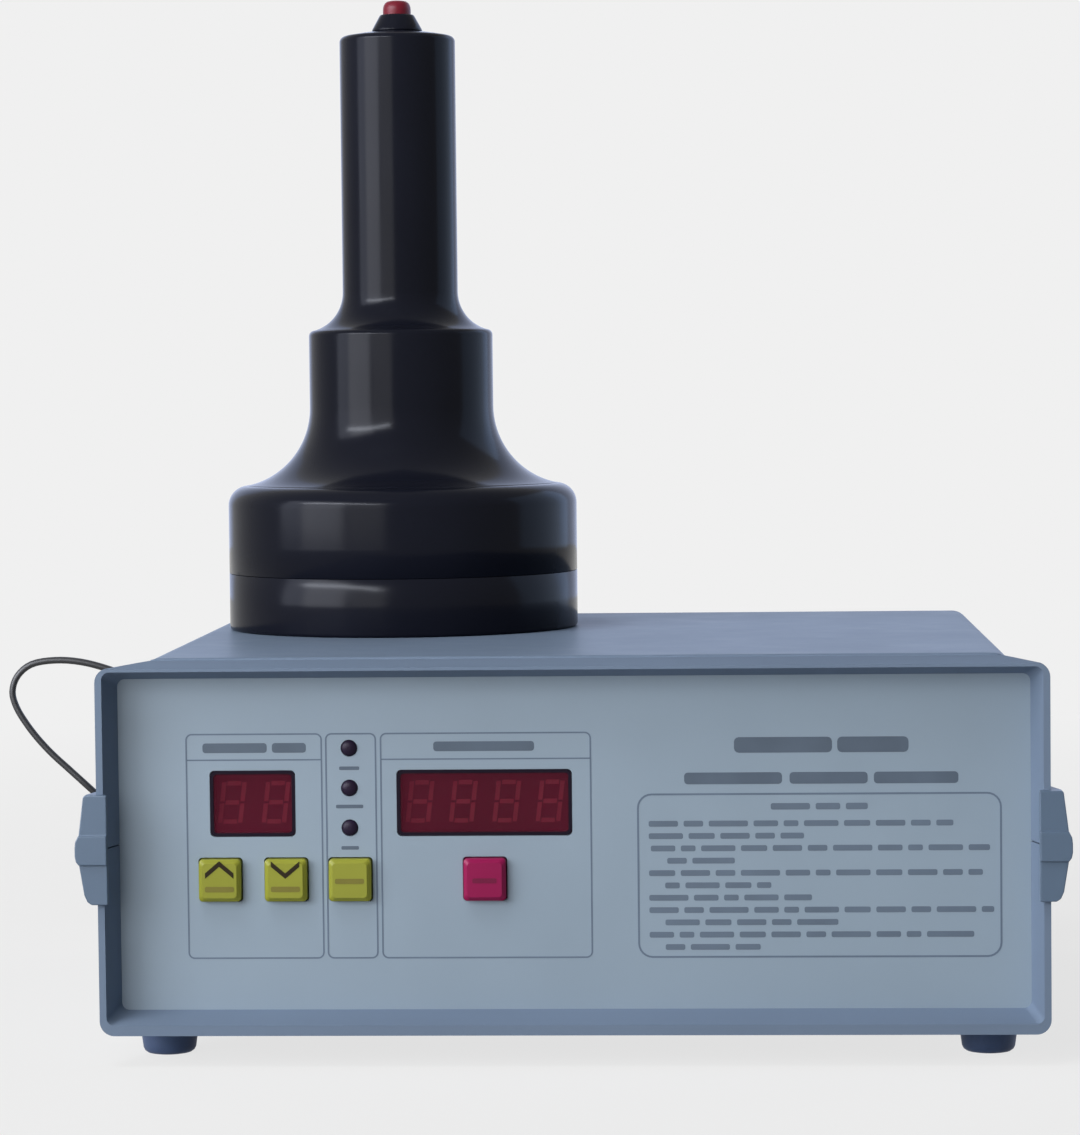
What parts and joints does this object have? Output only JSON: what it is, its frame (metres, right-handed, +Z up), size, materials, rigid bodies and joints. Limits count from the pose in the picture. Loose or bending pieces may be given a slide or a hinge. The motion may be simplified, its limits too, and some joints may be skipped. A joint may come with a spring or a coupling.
{
  "type": "induction cap sealer",
  "caption": "Bench induction cap sealer: flared two-shell power unit with recessed key and display panel, and a bell-shaped hand-held sealing head on a cord, stood on top.",
  "frame": {"origin": "middle of the footprint, on the table under the feet", "axes": "+Z up, -Y towards the front panel and the user, +X to the right as the user sees it"},
  "size_m": [0.3781, 0.3154, 0.3435],
  "materials": {
    "case_plastic": "fine-textured satin blue-grey moulding",
    "panel_plastic": "smooth satin blue-grey panel",
    "clip_plastic": "satin slate-blue moulding",
    "foot_rubber": "matt dark rubber",
    "window_acrylic": "clear dark red filter",
    "lamp_plastic": "tinted clear lamp",
    "yellow_plastic": "satin yellow key",
    "red_plastic": "smooth red moulding",
    "black_plastic": "black moulding",
    "head_plastic": "polished blue-black moulding",
    "former_plastic": "heat-resistant insulating plate",
    "circuit_board": "glass-fibre board with green mask",
    "aluminium": "extruded",
    "steel": "plated",
    "copper": "enamelled copper wire",
    "ferrite": "sintered ferrite",
    "capacitor_sleeve": "shrink sleeve",
    "capacitor_case": "potted box",
    "cord_rubber": "black flexible sheath"
  },
  "bodies": {
    "unit": {"upper_shell": "case_plastic", "lower_shell": "case_plastic", "front_panel": "panel_plastic", "rear_panel": "panel_plastic", "clip_front_left": "clip_plastic", "clip_front_right": "clip_plastic", "clip_rear_left": "clip_plastic", "clip_rear_right": "clip_plastic", "foot_front_left": "foot_rubber", "foot_front_right": "foot_rubber", "foot_rear_left": "foot_rubber", "foot_rear_right": "foot_rubber", "case_screws": "steel", "time_window": "window_acrylic", "count_window": "window_acrylic", "time_display": "black_plastic", "count_display": "black_plastic", "lamp_high": "lamp_plastic", "lamp_middle": "lamp_plastic", "lamp_low": "lamp_plastic", "key_switches": "black_plastic", "control_board": "circuit_board", "board_screws": "steel", "power_board": "circuit_board", "heat_sink": "aluminium", "smoothing_capacitors": "capacitor_sleeve", "tuning_capacitor": "capacitor_case", "transformer_core": "ferrite", "transformer_winding": "copper", "fan_frame": "black_plastic", "fan_guard": "steel", "panel_screws": "steel", "power_inlet": "black_plastic", "inlet_pins": "steel", "switch_housing": "black_plastic", "fuse_holder": "black_plastic", "case_gland": "cord_rubber", "gland_nut": "black_plastic", "head_housing": "head_plastic", "head_cover": "head_plastic", "coil_former": "former_plastic", "induction_coil": "copper", "ferrite_bars": "ferrite", "trigger_bezel": "black_plastic", "trigger_switch": "black_plastic", "head_gland": "cord_rubber", "cord_drop": "cord_rubber", "cord_coil": "cord_rubber", "cord_loop": "cord_rubber"},
    "up_key": {"key_up": "yellow_plastic"},
    "down_key": {"key_down": "yellow_plastic"},
    "power_key": {"key_power": "yellow_plastic"},
    "reset_key": {"key_reset": "red_plastic"},
    "rocker": {"switch_rocker": "red_plastic"},
    "fan": {"fan_rotor": "black_plastic"},
    "fuse_carrier": {"fuse_cap": "black_plastic"},
    "trigger": {"trigger_button": "red_plastic"}
  },
  "joints": [
    {"name": "up_key_press", "type": "slide", "parent": "unit", "child": "up_key", "axis": [0, 1, 0], "range_m": [0, 0.0012], "stiffness_N_per_m": 900, "springref_m": -0.0008},
    {"name": "down_key_press", "type": "slide", "parent": "unit", "child": "down_key", "axis": [0, 1, 0], "range_m": [0, 0.0012], "stiffness_N_per_m": 900, "springref_m": -0.0008},
    {"name": "power_key_press", "type": "slide", "parent": "unit", "child": "power_key", "axis": [0, 1, 0], "range_m": [0, 0.0012], "stiffness_N_per_m": 900, "springref_m": -0.0008},
    {"name": "reset_key_press", "type": "slide", "parent": "unit", "child": "reset_key", "axis": [0, 1, 0], "range_m": [0, 0.0012], "stiffness_N_per_m": 900, "springref_m": -0.0008},
    {"name": "trigger_press", "type": "slide", "parent": "unit", "child": "trigger", "axis": [0, 0, -1], "range_m": [0, 0.002], "stiffness_N_per_m": 800, "springref_m": -0.001},
    {"name": "switch_rock", "type": "hinge", "parent": "unit", "child": "rocker", "pos_m": [-0.012, 0.123, 0.088], "axis": [-1, 0, 0], "range_deg": [0, 20]},
    {"name": "fan_spin", "type": "hinge", "parent": "unit", "child": "fan", "pos_m": [0.07, 0.11, 0.0675], "axis": [0, 1, 0], "continuous": true},
    {"name": "fuse_cap_turn", "type": "hinge", "parent": "unit", "child": "fuse_carrier", "pos_m": [-0.052, 0.123, 0.046], "axis": [0, 1, 0], "range_deg": [0, 90]}
  ]
}
